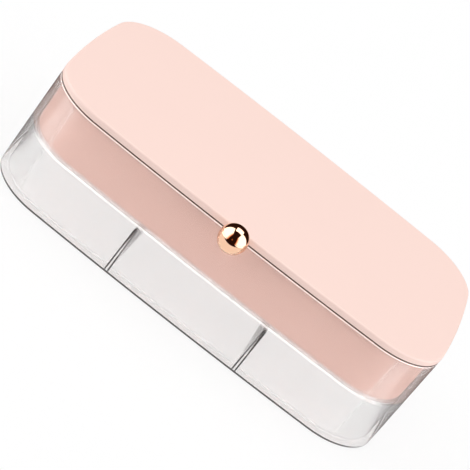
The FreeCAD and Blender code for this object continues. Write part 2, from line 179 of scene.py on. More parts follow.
class TraySettings(bpy.types.PropertyGroup):
    """Sizes of the tray, the lid and their hinges."""
    gap: length("Tray gap", 0.5 * MM, "Gap between the tray and the case wall")
    wall: length("Tray wall", 1.6 * MM, "Thickness of the tray wall")
    floor: length("Tray floor", 1.6 * MM, "Thickness of the tray floor")
    rim_drop: length("Rim drop", 0.2 * MM, "How far the tray's rim is below the case's rim")
    base_round: length("Tray base round", 2.0 * MM, "Round of the tray's outer bottom edge")
    rim_round: length("Tray rim round", 0.3 * MM, "Round of the tray's rim")
    inner_round: length("Tray inner round", 2.5 * MM, "Round between the tray's wall and floor")
    rib: length("Rib", 1.6 * MM, "Thickness of the tray's ribs")
    rib_drop: length("Rib drop", 3.4 * MM, "How far the ribs are below the tray's rim")
    rib_round: length("Rib round", 0.5 * MM, "Round of the ribs' tops")
    rib_place: length("Long rib place", 6.0 * MM, "Distance of the long rib behind the middle")
    rib_spacing: length("Rib spacing", 44.0 * MM, "Distance between the rear ribs")
    lid_gap: length("Lid gap", 0.3 * MM, "Seam between the case's rim and the lid")
    lid_plate: length("Lid plate", 2.0 * MM, "Thickness of the lid inside its lip")
    lid_round: length("Lid round", 0.9 * MM, "Round of the lid's top edge")
    lid_under_round: length("Lid lower round", 0.25 * MM, "Round of the lid's lower edge")
    lip_gap: length("Lip gap", 0.4 * MM, "Gap between the lid's lip and the tray")
    lip: length("Lip", 1.4 * MM, "Thickness of the lid's lip")
    lip_depth: length("Lip depth", 2.0 * MM, "How far the lip reaches into the tray")
    edge_round: length("Edge round", 0.25 * MM, "Small round of the lip and of the hinge's ends")
    boss_half: length("Boss half width", 4.0 * MM, "Half the width of the lid's boss for the knob")
    boss_depth: length("Boss depth", 6.5 * MM, "How far the boss reaches back")
    boss_drop: length("Boss drop", 2.0 * MM, "How far the boss reaches down inside the lid")
    boss_round: length("Boss round", 0.4 * MM, "Round of the boss")
    lug_root: length("Lug root", 3.6 * MM, "How far a lug reaches forward from its knuckle")
    lug_drop: length("Lug drop", 0.4 * MM, "How far a lug's top is below the lid's top")
    lug_chamfer: length("Lug chamfer", 0.2 * MM, "Chamfer at a lug's lower rear edge")
    bore_gap: length("Bore gap", 0.06 * MM, "Gap round the pin in a lug's bore")
    knuckle: length("Knuckle radius", 2.4 * MM, "Outer radius of the hinge knuckles")
    tray_knuckle: length("Tray knuckle", 12.0 * MM, "Width of a tray arm")
    lid_knuckle: length("Lid knuckle", 6.0 * MM, "Width of a lid lug")
    knuckle_gap: length("Knuckle gap", 0.35 * MM, "Gap between an arm and a lug")
    arm: length("Arm", 3.2 * MM, "Thickness of a tray arm")


class KnobSettings(bpy.types.PropertyGroup):
    """Sizes of the ball knob."""
    neck_radius: length("Neck radius", 1.3 * MM, "Radius of the neck between ball and lid")
    neck_flare: length("Neck flare", 0.35 * MM, "Small round where the neck meets the ball")
    neck_start: length("Neck start", 0.05 * MM, "How far beyond the ball's radius the neck begins")
    pole: length("Pole radius", 0.02 * MM, "Radius of the ball's last ring of points")
    pin_chamfer: length("Pin chamfer", 0.2 * MM, "Chamfer on the ends of pins and stud")


class FinishSettings(bpy.types.PropertyGroup):
    """Colours and gloss of the four materials."""
    clear_tint: colour("Clear tint", (0.985, 0.987, 0.99), "Tint of the clear plastic")
    lid_colour: colour("Lid blush", (0.985, 0.745, 0.675), "Blush of the lid")
    tray_colour: colour("Tray blush", (0.95, 0.635, 0.555), "Blush of the tray")
    rose_colour: colour("Rose gold", (0.95, 0.60, 0.41), "Colour of the ball's plating")
    steel_colour: colour("Steel", (0.58, 0.58, 0.60), "Colour of the pins")
    # Painted shade: the colour that darkens the clear plastic's rim, foot, partition edges and grazing
    # sides
    painted_shade_colour: colour("Edge tint", (0.01, 0.009, 0.009), "Tint of the clear plastic's dark edges")
    # How dark the painted grazing shade makes the clear walls edge-on
    painted_grazing_shade: share("Grazing shade", 0.95, "How dark the clear walls look edge-on")
    # Painted highlight: a weak glow along the shelf's edge
    painted_shelf_glint: share("Shelf glint", 0.5, "Light that the shelf's edge catches")
    # Painted highlight: a weak glow on the rim's outer round
    painted_rim_glint: share("Rim glint", 0.5, "Light that the rim's outer round catches")
    # Painted highlight: a weak glow along the foot's inner edge
    painted_foot_glint: share("Foot glint", 0.12, "Light that the foot's inner edge catches")
    underside: share("Underside roughness", 0.5, "Texture of the case's underside")
    body_of_clear: share("Clear body", 0.34, "How much of the flat clear walls is seen")
    body_of_shelf: share("Shelf body", 0.7, "How much of the thin clear shelf is seen")
    satin: share("Satin roughness", 0.38, "Roughness of the blush plastic")
    polish: share("Polish roughness", 0.03, "Roughness of the plated ball")


class StageSettings(bpy.types.PropertyGroup):
    """Camera, floor and studio light."""
    camera_distance: length("Camera distance", 0.7763, "Distance from the camera to its target")
    camera_aside: length("Target place", -0.18 * MM, "Where along the box the camera looks")
    camera_target: length("Target height", 0.02002, "Height of the point that the camera looks at")
    camera_pitch: FloatProperty(name="Pitch", default=math.radians(25.036), subtype="ANGLE",
                                description="How far the camera looks down")
    camera_roll: FloatProperty(name="Roll", default=math.radians(38.21), subtype="ANGLE",
                               description="How far the camera is rolled")
    camera_yaw: FloatProperty(name="Yaw", default=math.radians(-0.24), subtype="ANGLE",
                              description="How far the camera stands to the side")
    camera_lens: FloatProperty(name="Lens", default=148.15, unit="CAMERA",
                               description="Focal length on a 36 mm wide sensor")
    floor_colour: colour("Floor", (0.92, 0.92, 0.92), "Colour of the pale floor")
    floor_glow: share("Floor glow", 0.86, "Share of plain white that the camera sees on the floor")
    clear_glow: share("Clear glow", 0.92, "Share of plain white on the floor through clear plastic")
    sheet_half: length("Sheet half width", 0.2, "Half the width of the white sheet in reflections")
    sheet_front: length("Sheet front", -0.18, "Front edge of the white sheet in reflections")
    sheet_back: length("Sheet back", -0.028, "Rear edge of the white sheet in reflections")
    zenith: share("Light from above", 1.7, "Strength of the studio light from straight above", 3.0)
    sides: share("Light from the sides", 2.47, "Strength of the studio light from both sides", 3.0)
    fill: share("Fill light", 0.087, "Strength of the studio light from all round", 3.0)
    room: colour("Room", (0.022, 0.008, 0.005), "Colour of the dark room that polished metal reflects")
    flare: colour("Softbox edge", (0.30, 0.10, 0.03), "Colour of the soft boxes' inner edges")
    softbox: share("Softboxes", 2.3, "Strength of the soft boxes in reflections and through plastic", 5.0)


SETTINGS = (CaseSettings, TraySettings, KnobSettings, FinishSettings, StageSettings)


class BoxSettings(bpy.types.PropertyGroup):
    """All that a user would change on the jewellery box."""
    case: PointerProperty(type=CaseSettings)
    tray: PointerProperty(type=TraySettings)
    knob: PointerProperty(type=KnobSettings)
    finish: PointerProperty(type=FinishSettings)
    stage: PointerProperty(type=StageSettings)


# Outlines and skins

class Outline:
    """A bowed rounded rectangle made of eight tangent arcs."""

    def __init__(self, half_width, half_depth, corner, long_bow, short_bow):
        long_radius = (half_width ** 2 + long_bow ** 2) / (2 * long_bow)
        short_radius = (half_depth ** 2 + short_bow ** 2) / (2 * short_bow)
        long_y = long_radius - half_depth
        short_x = short_radius - half_width
        to_long, to_short = long_radius - corner, short_radius - corner
        span = math.hypot(short_x, long_y)
        along = (to_long ** 2 - to_short ** 2 + span ** 2) / (2 * span)
        across = math.sqrt(to_long ** 2 - along ** 2)
        x = (-short_x * along + long_y * across) / span
        y = -long_y + (long_y * along + short_x * across) / span
        low = math.atan2(y, x + short_x)
        high = math.atan2(y + long_y, x)
        turn = math.pi
        self.half_depth, self.long_radius = half_depth, long_radius
        self.arcs = [
            (-short_x, 0.0, short_radius, -low, low, 18),
            (x, y, corner, low, high, 22),
            (0.0, -long_y, long_radius, high, turn - high, 28),
            (-x, y, corner, turn - high, turn - low, 22),
            (short_x, 0.0, short_radius, turn - low, turn + low, 18),
            (-x, -y, corner, turn + low, turn + high, 22),
            (0.0, long_y, long_radius, turn + high, 2 * turn - high, 28),
            (x, -y, corner, 2 * turn - high, 2 * turn - low, 22),
        ]

    def front(self, place):
        """About how far the bowed long side is from the middle at a place along it."""
        return self.half_depth - place ** 2 / (2 * self.long_radius)

    def ring(self, inset, height):
        """Points round the outline, set in by a length, at one height."""
        points = []
        for x, y, radius, begin, finish, steps in self.arcs:
            for step in range(steps):
                angle = begin + (finish - begin) * step / steps
                points.append(Vector((x + (radius - inset) * math.cos(angle),
                                      y + (radius - inset) * math.sin(angle), height)))
        return points


def arc(centre, radius, begin, finish, steps=6):
    """Points on an arc about a centre between two angles in degrees."""
    angles = [math.radians(begin + (finish - begin) * step / steps) for step in range(steps + 1)]
    return [(centre[0] + radius * math.cos(a), centre[1] + radius * math.sin(a)) for a in angles]


def skin(rings, closed=False):
    """A mesh of faces between rings of equal length, capped at both ends unless it closes."""
    mesh = bmesh.new()
    rows = [[mesh.verts.new(point) for point in ring] for ring in rings]
    pairs = list(zip(rows, rows[1:]))
    if closed:
        pairs.append((rows[-1], rows[0]))
    else:
        mesh.faces.new(rows[0][::-1])
        mesh.faces.new(rows[-1])
    for low, high in pairs:
        for index in range(len(low)):
            following = (index + 1) % len(low)
            mesh.faces.new((low[index], low[following], high[following], high[index]))
    bmesh.ops.recalc_face_normals(mesh, faces=mesh.faces)
    return mesh


def block(low, high, bevel=0.0, edges=None):
    """A box from corner to corner with bevelled edges, all or those that a test picks."""
    mesh = bmesh.new()
    size = [b - a for a, b in zip(low, high)]
    middle = [(a + b) / 2 for a, b in zip(low, high)]
    bmesh.ops.create_cube(mesh, size=1.0, matrix=Matrix.Translation(middle) @ Matrix.Diagonal((*size, 1.0)))
    if bevel:
        picked = [e for e in mesh.edges if edges is None or edges(e)]
        bmesh.ops.bevel(mesh, geom=picked, offset=bevel, segments=3, profile=0.5, affect="EDGES")
    return mesh


def slab(profile, low_x, high_x, bevel=0.0):
    """A profile of y and z points carried along X, its end edges bevelled."""
    mesh = bmesh.new()
    left = [mesh.verts.new((low_x, y, z)) for y, z in profile]
    right = [mesh.verts.new((high_x, y, z)) for y, z in profile]
    caps = [mesh.faces.new(left), mesh.faces.new(right[::-1])]
    for index in range(len(profile)):
        following = (index + 1) % len(profile)
        mesh.faces.new((left[following], left[index], right[index], right[following]))
    bmesh.ops.recalc_face_normals(mesh, faces=mesh.faces)
    if bevel:
        rims = {edge for cap in caps for edge in cap.edges}
        bmesh.ops.bevel(mesh, geom=list(rims), offset=bevel, segments=2, profile=0.5, affect="EDGES")
    return mesh


def turned(profile, axis, origin, segments=40):
    """A profile of distance along an axis and radius, turned round that axis."""
    across = axis.orthogonal().normalized()
    rings = []
    for along, radius in profile:
        centre = origin + axis * along
        rings.append([centre + Quaternion(axis, 2 * math.pi * n / segments) @ across * radius
                      for n in range(segments)])
    return skin(rings)


def make_object(name, mesh):
    """An object in the scene from bmesh data."""
    data = bpy.data.meshes.new(name)
    mesh.to_mesh(data)
    mesh.free()
    made = bpy.data.objects.new(name, data)
    bpy.context.scene.collection.objects.link(made)
    return made


def join_meshes(first, others, operation="UNION"):
    """Adds other meshes to the first, or cuts them from it, and keeps only the result."""
    base = make_object("solid", first)
    for mesh in others:
        tool = make_object("tool", mesh)
        modifier = base.modifiers.new("solid", "BOOLEAN")
        modifier.operation = operation
        modifier.solver = "EXACT"
        modifier.object = tool
        graph = bpy.context.evaluated_depsgraph_get()
        result = bmesh.new()
        result.from_object(base, graph)
        base.modifiers.clear()
        base.data.clear_geometry()
        result.to_mesh(base.data)
        result.free()
        bpy.data.meshes.remove(tool.data)
    final = bmesh.new()
    final.from_mesh(base.data)
    bpy.data.meshes.remove(base.data)
    return final


def finish_piece(made, material, body, slot, *nodes):
    """Shades a piece, gives it its material and ties it to the frame."""
    made.data.polygons.foreach_set("use_smooth", [True] * len(made.data.polygons))
    made.data.set_sharp_from_angle(angle=KEEP_ANGLE)
    made.data.materials.clear()
    made.data.materials.append(material)
    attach(made, body)
    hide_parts(*nodes)
    return made


# Shader nodes

class Value:
    """A number socket that can be used in sums, differences and products."""

    def __init__(self, graph, socket):
        self.graph = graph
        self.socket = socket

    def combine(self, operation, first, second):
        node = self.graph.node("ShaderNodeMath", {"operation": operation}, {0: first, 1: second})
        return Value(self.graph, node.outputs[0])

    def __add__(self, other):
        return self.combine("ADD", self, other)

    def __sub__(self, other):
        return self.combine("SUBTRACT", self, other)

    def __rsub__(self, other):
        return self.combine("SUBTRACT", other, self)

    def __mul__(self, other):
        return self.combine("MULTIPLY", self, other)

    __radd__ = __add__
    __rmul__ = __mul__


class Graph:
    """The nodes of one material or world."""

    def __init__(self, owner):
        owner.use_nodes = True
        self.tree = owner.node_tree
        self.tree.nodes.clear()

    def node(self, kind, settings=None, inputs=None):
        """A node with its settings made first and its sockets filled or linked after."""
        made = self.tree.nodes.new(kind)
        for name, value in (settings or {}).items():
            setattr(made, name, value)
        for name, value in (inputs or {}).items():
            socket = made.inputs[name]
            if isinstance(value, Value):
                self.tree.links.new(value.socket, socket)
            else:
                socket.default_value = value
        return made

    def value(self, kind, output, settings=None, inputs=None):
        """One output of a new node."""
        return Value(self, self.node(kind, settings, inputs).outputs[output])

    def noise(self, scale, detail=2.0, place=None):
        """Smooth noise from 0 to 1 over the object, scale in bumps per metre."""
        if place is None:
            place = self.value("ShaderNodeTexCoord", "Object")
        return self.value("ShaderNodeTexNoise", "Fac", None,
                          {"Vector": place, "Scale": scale, "Detail": detail})

    def place_along(self, axis):
        """Where a point lies along one axis of its object."""
        place = self.value("ShaderNodeTexCoord", "Object")
        return self.value("ShaderNodeSeparateXYZ", axis, None, {"Vector": place})

    def size_of(self, value):
        """A number without its sign."""
        return value.combine("ABSOLUTE", value, 0.0)

    def clamped(self, value):
        return self.value("ShaderNodeClamp", 0, None, {"Value": value})

    def step_up(self, value, edge, softness):
        """0 below an edge and 1 above it, with a soft change between."""
        return 1.0 - self.step_down(value, edge, softness)

    def step_down(self, value, edge, softness):
        """1 below an edge and 0 above it, with a soft change between."""
        return self.value("ShaderNodeMapRange", 0, None,
                          {"Value": value, "From Min": edge - softness, "From Max": edge + softness,
                           "To Min": 1.0, "To Max": 0.0})

    def band(self, value, middle, half, softness):
        """1 within half of the middle and 0 outside it."""
        return self.step_down(self.size_of(value - middle), half, softness)

    def facing(self):
        """0 where a surface is seen straight on and 1 where it is seen edge-on."""
        return self.value("ShaderNodeLayerWeight", "Facing", None, {"Blend": 0.5})

    def mix_colour(self, factor, first, second):
        return self.value("ShaderNodeMix", 2, {"data_type": "RGBA"}, {0: factor, 6: first, 7: second})

    def light(self, tint, strength=1.0, kind="Emission"):
        """An emission or background shader."""
        return self.value("ShaderNode" + kind, kind, None, {"Color": tint, "Strength": strength})

    def bump(self, height, strength, distance):
        return self.value("ShaderNodeBump", "Normal", None,
                          {"Height": height, "Strength": strength, "Distance": distance})

    def surface(self, inputs):
        """Principled shader to the output, constants on its own sockets."""
        shader = self.value("ShaderNodeBsdfPrincipled", "BSDF", None, inputs)
        self.node("ShaderNodeOutputMaterial", None, {"Surface": shader})


def shaded(colour_value, factor=1.0):
    """A colour made lighter or darker, with its alpha."""
    return tuple(min(1.0, channel * factor) for channel in colour_value) + (1.0,)


def new_material(name):
    material = bpy.data.materials.new(name)
    return material, Graph(material)


def clear_plastic(name, finish, masks):
    """Polished clear moulding with faint flow in it.

    The masks say, over the surface, how much of the plastic is seen, how much painted shade
    darkens its edges, where a painted highlight glows and how rough they are.
    """
    material, graph = new_material(name)
    flow = graph.noise(FLOW_SCALE, 1.0)
    # dark says where painted shade darkens the plastic, glint where a painted highlight glows
    body, dark, glint, texture = masks(graph)
    tint = graph.mix_colour(flow, shaded(finish.clear_tint), shaded(finish.clear_tint, 0.985))
    graph.surface({
        # Painted shade: the plastic darkens where the masks say
        "Base Color": graph.mix_colour(dark, tint, shaded(finish.painted_shade_colour)),
        "Roughness": texture + (0.012 + flow * 0.012),
        "IOR": 1.49,
        "Transmission Weight": 1.0,
        "Alpha": body,
        # Painted highlight: a weak glow of the plastic's own where the masks say
        "Emission Color": graph.mix_colour(glint, BLACK, WHITE),
        "Emission Strength": 1.0,
        "Normal": graph.bump(graph.noise(RIPPLE_SCALE, 1.0), strength=0.02, distance=0.0002),
    })
    return material


def shelf_plastic(owner):
    """Thin clear plastic with a painted highlight glowing along its edge."""
    finish = owner.finish

    def masks(graph):
        depth, half, softness = SHELF_PAINTED_HIGHLIGHT
        # A painted highlight glows along the shelf's edge
        edge = graph.band(graph.place_along("Z"), SHELF_HIGH.z - depth, half, softness)
        body = finish.body_of_shelf + edge * (1.0 - finish.body_of_shelf)
        return body, 0.0, edge * finish.painted_shelf_glint, 0.0

    return clear_plastic("clear shelf", finish, masks)


def case_plastic(owner):
    """Clear plastic whose rim, foot, partitions and grazing sides show more than its flat walls, darkened
    by painted shade, with painted highlights at rim and foot.
    """
    case, finish = owner.case, owner.finish

    def masks(graph):
        across, along = [graph.size_of(graph.place_along(axis)) for axis in "XY"]
        height = graph.place_along("Z")
        off = graph.size_of(across - case.partition_spacing / 2)
        taper = (case.partition_foot - case.partition_crest) / 2 / SHELF_LOW.z
        face = case.partition_foot / 2 - height * taper
        below = graph.step_down(height, SHELF_LOW.z - UNDERSIDE[0], UNDERSIDE[1])
        outside = graph.step_up(along, HALF_DEPTH - OUTER_SKIN[0], OUTER_SKIN[1])
        # Painted shade along each partition's edge, darkest below its heel
        from_middle, half, softness = PARTITION_PAINTED_SHADE
        edge = below * outside * graph.band(off, face * from_middle, half, softness)
        heel = graph.step_down(height, *HEEL)
        under = graph.step_down(height, *UNDERSIDE)
        # Painted shade along the foot and along the seam at the rim's top
        foot = graph.step_down(height, case.painted_foot_shade, FOOT_SOFT) - under
        seam = graph.step_up(height, CASE_HEIGHT - case.painted_seam_shade, SEAM_SOFT)
        # Painted shade and a painted highlight, each a line below the rim
        shade, rim_painted_highlight = [graph.band(height, CASE_HEIGHT - depth, width, blur)
                      for depth, width, blur in (RIM_PAINTED_SHADE, RIM_PAINTED_HIGHLIGHT)]
        # Painted shade where a wall is seen edge-on
        grazing = graph.step_up(graph.facing(), *GRAZING) * graph.step_up(height, *GRAZING_FOOT)
        shown = graph.clamped(edge + foot + seam + rim_painted_highlight + shade * SHADE_SHOWN + grazing)
        # All the painted shade together
        dark = graph.clamped(edge * (PARTITION_SHADE_DARKNESS + heel * (1.0 - PARTITION_SHADE_DARKNESS)) + foot + seam
                             + shade * SHADE_DARK + grazing * finish.painted_grazing_shade)
        # Painted highlights below the rim and above the foot
        glint = rim_painted_highlight * finish.painted_rim_glint + graph.band(height, *FOOT_PAINTED_HIGHLIGHT) * finish.painted_foot_glint
        body = finish.body_of_clear + shown * (1.0 - finish.body_of_clear)
        return body, dark, glint, under * finish.underside

    return clear_plastic("clear case", finish, masks)


def blush_plastic(name, blush, finish):
    """Satin moulding with a fine even grain and a faint change of tone."""
    material, graph = new_material(name)
    tone = graph.noise(TONE_SCALE)
    grain = graph.noise(GRAIN_SCALE)
    tint = graph.mix_colour(tone, shaded(blush, 1.012), shaded(blush, 0.985))
    graph.surface({
        "Base Color": tint,
        "Roughness": finish.satin + grain * 0.08,
        "IOR": 1.46,
        "Specular IOR Level": 0.25,
        "Normal": graph.bump(grain, strength=0.06, distance=0.00004),
    })
    return material


def rose_gold(finish):
    """Polished plating with a faint drift of tone and hairlines."""
    material, graph = new_material("rose gold")
    drift = graph.noise(DRIFT_SCALE)
    hair = graph.noise(HAIRLINE_SCALE, 3.0)
    tint = graph.mix_colour(drift, shaded(finish.rose_colour, 1.03), shaded(finish.rose_colour, 0.96))
    graph.surface({
        "Base Color": tint,
        "Metallic": 1.0,
        "Roughness": finish.polish + hair * 0.03,
        "Normal": graph.bump(hair, strength=0.02, distance=0.00002),
    })
    return material


def pin_steel(finish):
    """Drawn steel wire with fine lines along its length."""
    material, graph = new_material("pin steel")
    place = graph.value("ShaderNodeTexCoord", "Object")
    along = graph.value("ShaderNodeMapping", "Vector", None, {"Vector": place, "Scale": WIRE_LINES})
    lines = graph.noise(1.0, 3.0, along)
    tint = graph.mix_colour(lines, shaded(finish.steel_colour, 1.08), shaded(finish.steel_colour, 0.86))
    graph.surface({
        "Base Color": tint,
        "Metallic": 1.0,
        "Roughness": 0.24 + lines * 0.18,
        "Normal": graph.bump(lines, strength=0.1, distance=0.00002),
    })
    return material


def case_outline(case):
    return Outline(HALF_WIDTH, HALF_DEPTH, case.corner, case.long_bow, case.short_bow)


def settings(context):
    return context.scene.jewellery_box


# Pieces

class JEWELLERY_OT_case(bpy.types.Operator):
    """Builds the clear case with its rounded base, rim and rear notches"""
    bl_idname = "jewellery.case"
    bl_label = "Clear Case"

    def execute(self, context):
        case = settings(context).case
        outline = case_outline(case)
        base, inner, rim = case.base_round, case.inner_round, case.rim_round
        top, wall, floor = CASE_HEIGHT, case.wall, case.floor
        path = [(base + LOOP, 0.0)]
        path += arc((base, base), base, 270, 180)
        path += [(0.0, base + LOOP), (0.0, top - rim - LOOP)]
        path += arc((rim, top - rim), rim, 180, 90)
        path += arc((wall - rim, top - rim), rim, 90, 0)
        path += [(wall, top - rim - LOOP), (wall, floor + inner + LOOP)]
        path += arc((wall + inner, floor + inner), inner, 180, 270)
        path += [(wall + inner + LOOP, floor)]
        shell = skin([outline.ring(inset, height) for inset, height in path])
        half = case.notch_width / 2
        notches = []
        for side in (-1, 1):
            low = (side * HINGE_X - half, HALF_DEPTH - 4 * wall, top - case.notch_depth)
            high = (side * HINGE_X + half, HINGE_Y, top + NOTCH_REACH)
            notches.append(block(low, high, case.notch_round, runs_along_y))
        shell = join_meshes(shell, notches, "DIFFERENCE")
        shell = join_meshes(shell, partitions(case, outline))
        made = make_object("clear_case_shell", shell)
        finish_piece(made, material_named("clear case", context), "case", "clear_plastic", "clear_case")
        return {"FINISHED"}


def partitions(case, outline):
    """The two drafted partitions, from inside the floor to just under the shelf."""
    foot, crest = case.partition_foot / 2, case.partition_crest / 2
    low, high = case.floor / 2, SHELF_LOW.z - case.shelf_gap
    place = case.partition_spacing / 2
    reach = outline.front(place + foot) - case.wall / 2
    section = [(-foot, low), (foot, low), (crest, high - THIN_BEVEL), (crest - THIN_BEVEL, high),
               (THIN_BEVEL - crest, high), (-crest, high - THIN_BEVEL)]
    return [skin([[Vector((side * place + x, y, z)) for x, z in section] for y in (-reach, reach)])
            for side in (-1, 1)]


def runs_along_y(edge):
    direction = edge.verts[0].co - edge.verts[1].co
    return abs(direction.y) > abs(direction.x) + abs(direction.z)


MAKERS = {
    "clear case": case_plastic,
    "clear shelf": shelf_plastic,
    "lid blush": lambda owner: blush_plastic("lid blush", owner.finish.lid_colour, owner.finish),
    "tray blush": lambda owner: blush_plastic("tray blush", owner.finish.tray_colour, owner.finish),
    "rose gold": lambda owner: rose_gold(owner.finish),
    "pin steel": lambda owner: pin_steel(owner.finish),
}


def material_named(name, context):
    """The material of that name, made the first time that a piece asks for it."""
    return bpy.data.materials.get(name) or MAKERS[name](settings(context))


class JEWELLERY_OT_shelf(bpy.types.Operator):
    """Builds the clear shelf ring that carries the tray"""
    bl_idname = "jewellery.shelf"
    bl_label = "Shelf"

    def execute(self, context):
        case = settings(context).case
        outer = case_outline(case)
        edge = case.wall + case.shelf_gap
        inset = edge + case.shelf_ledge
        opening = Outline(HALF_WIDTH - inset, HALF_DEPTH - inset, case.opening_corner,
                          case.opening_long_bow, case.opening_short_bow)
        under, top, soft = SHELF_LOW.z, SHELF_HIGH.z, THIN_BEVEL
        ring = skin([
            outer.ring(edge + soft, under), outer.ring(edge, under + soft),
            outer.ring(edge, top - soft), outer.ring(edge + soft, top),
            opening.ring(-soft, top), opening.ring(0.0, top - soft),
            opening.ring(0.0, under + soft), opening.ring(-soft, under),
        ], closed=True)
        made = make_object("shelf_ring", ring)
        finish_piece(made, material_named("clear shelf", context), "case", "clear_plastic", "tray_shelf")
        return {"FINISHED"}


class JEWELLERY_OT_tray(bpy.types.Operator):
    """Builds the blush tray with its ribs and hinge arms"""
    bl_idname = "jewellery.tray"
    bl_label = "Tray"

    def execute(self, context):
        case, tray = settings(context).case, settings(context).tray
        outline = case_outline(case)
        edge = case.wall + tray.gap
        bottom, rim = TRAY_BOTTOM, CASE_HEIGHT - tray.rim_drop
        base, inner, soft = tray.base_round, tray.inner_round, tray.rim_round
        floor, wall = bottom + tray.floor, edge + tray.wall
        path = [(edge + base + LOOP, bottom)]
        path += arc((edge + base, bottom + base), base, 270, 180, 8)
        path += [(edge, bottom + base + LOOP), (edge, rim - soft - LOOP)]
        path += arc((edge + soft, rim - soft), soft, 180, 90, 3)
        path += arc((wall - soft, rim - soft), soft, 90, 0, 3)
        path += [(wall, rim - soft - LOOP), (wall, floor + inner + LOOP)]
        path += arc((wall + inner, floor + inner), inner, 180, 270)
        path += [(wall + inner + LOOP, floor)]
        dish = skin([outline.ring(inset, height) for inset, height in path])
        bite = tray.wall / 2
        root = outline.front(HINGE_X) - edge - bite
        parts = tray_ribs(tray, outline, wall - bite, bottom + tray.floor / 2, rim - tray.rib_drop)
        parts += tray_arms(tray, root)
        made = make_object("blush_tray", join_meshes(dish, parts))
        finish_piece(made, material_named("tray blush", context), "tray", "blush_plastic", "upper_tray")
        return {"FINISHED"}


def tray_ribs(tray, outline, inset, low, high):
    """One long rib and three short ones behind it, from inside the floor and the walls."""
    half, place = tray.rib / 2, tray.rib_place
    reach = HALF_WIDTH - inset
    spans = [((-reach, place - half), (reach, place + half))]
    for number in (-1, 0, 1):
        middle = number * tray.rib_spacing
        spans.append(((middle - half, place), (middle + half, outline.front(middle) - inset)))
    return [block((*start, low), (*end, high), tray.rib_round, is_level_edge(high)) for start, end in spans]


def tray_arms(tray, root):
    """The two arms with their knuckles, bored for the pins."""
    radius, low, top = tray.knuckle, HINGE_Z - tray.knuckle, HINGE_Z - tray.knuckle + tray.arm
    profile = [(root, low)] + arc((HINGE_Y, HINGE_Z), radius, -90, 90, 20)[:-1]
    profile += [(HINGE_Y - radius * back, top + radius * rise) for back, rise in SADDLE]
    profile += [(root, top)]
    half = tray.tray_knuckle / 2
    arms = []
    for middle in (-HINGE_X, HINGE_X):
        arm = slab(profile, middle - half, middle + half, tray.edge_round)
        arms.append(join_meshes(arm, [bore(middle, tray.tray_knuckle, PIN_RADIUS)], "DIFFERENCE"))
    return arms


def is_level_edge(height):
    """A test for box edges that lie at one height and run along the box."""
    def test(edge):
        level = all(abs(vert.co.z - height) < TOUCH for vert in edge.verts)
        return level and edge.calc_length() > SHORT_EDGE
    return test


def bore(middle, width, radius):
    """A cutter for a hinge bore, longer than what it cuts."""
    reach = width / 2 + BORE_REACH
    origin = Vector((middle, HINGE_Y, HINGE_Z))
    return turned([(-reach, radius), (reach, radius)], Vector((1, 0, 0)), origin)


class JEWELLERY_OT_lid(bpy.types.Operator):
    """Builds the blush lid with its locating lip, knob boss and hinge lugs"""
    bl_idname = "jewellery.lid"
    bl_label = "Lid"

    def execute(self, context):
        case, tray = settings(context).case, settings(context).tray
        outline = case_outline(case)
        bottom = CASE_HEIGHT + tray.lid_gap
        top, under = LID_TOP, LID_TOP - tray.lid_plate
        outer = case.wall + tray.gap + tray.wall + tray.lip_gap
        inner = outer + tray.lip
        tip = bottom - tray.lip_depth
        soft, crown, low = tray.edge_round, tray.lid_round, tray.lid_under_round
        path = [(inner + 2 * soft, under), (inner, under - soft), (inner, tip + soft)]
        path += arc((inner - soft, tip + soft), soft, 360, 270, 3)
        path += arc((outer + soft, tip + soft), soft, 270, 180, 3)
        path += [(outer, bottom - soft), (outer - soft, bottom), (low + 2 * soft, bottom)]
        path += arc((low, bottom + low), low, 270, 180, 4)
        path += [(0.0, bottom + low + LOW_LOOP), (0.0, top - crown - HIGH_LOOP)]
        path += arc((crown, top - crown), crown, 180, 90, 8)
        path += [(crown + LOOP, top)]
        plate = skin([outline.ring(inset, height) for inset, height in path])
        front = outer - HALF_DEPTH + tray.lip / 2
        boss = block((-tray.boss_half, front, under - tray.boss_drop),
                     (tray.boss_half, front + tray.boss_depth, under + tray.lid_plate / 2), tray.boss_round)
        made = make_object("blush_lid", join_meshes(plate, [boss] + lid_lugs(tray, bottom, top)))
        finish_piece(made, material_named("lid blush", context), "lid", "blush_plastic", "lid")
        return {"FINISHED"}


def lid_lugs(tray, bottom, top):
    """Two lugs beside each tray arm, from the lid's plate down round the pin."""
    hinge, radius, small = (HINGE_Y, HINGE_Z), tray.knuckle, tray.lug_chamfer
    root, crest = HINGE_Y - radius - tray.lug_root, top - tray.lug_drop
    profile = [(root, crest), (HINGE_Y - radius * LUG_CREST, crest)]
    profile += arc(hinge, radius, math.degrees(math.atan2(LUG_SLOPE_END[1], LUG_SLOPE_END[0])), 0, 8)
    profile += [(HINGE_Y + radius, HINGE_Z - radius + small), (HINGE_Y + radius - small, HINGE_Z - radius)]
    profile += arc(hinge, radius, 270, 180, 8)
    profile += [(HINGE_Y - radius, bottom), (root, bottom)]
    half = tray.lid_knuckle / 2
    offset = tray.tray_knuckle / 2 + tray.knuckle_gap + half
    lugs = []
    for middle in (-HINGE_X, HINGE_X):
        for place in (middle - offset, middle + offset):
            lug = slab(profile, place - half, place + half, tray.edge_round)
            cutter = bore(place, tray.lid_knuckle, PIN_RADIUS + tray.bore_gap)
            lugs.append(join_meshes(lug, [cutter], "DIFFERENCE"))
    return lugs


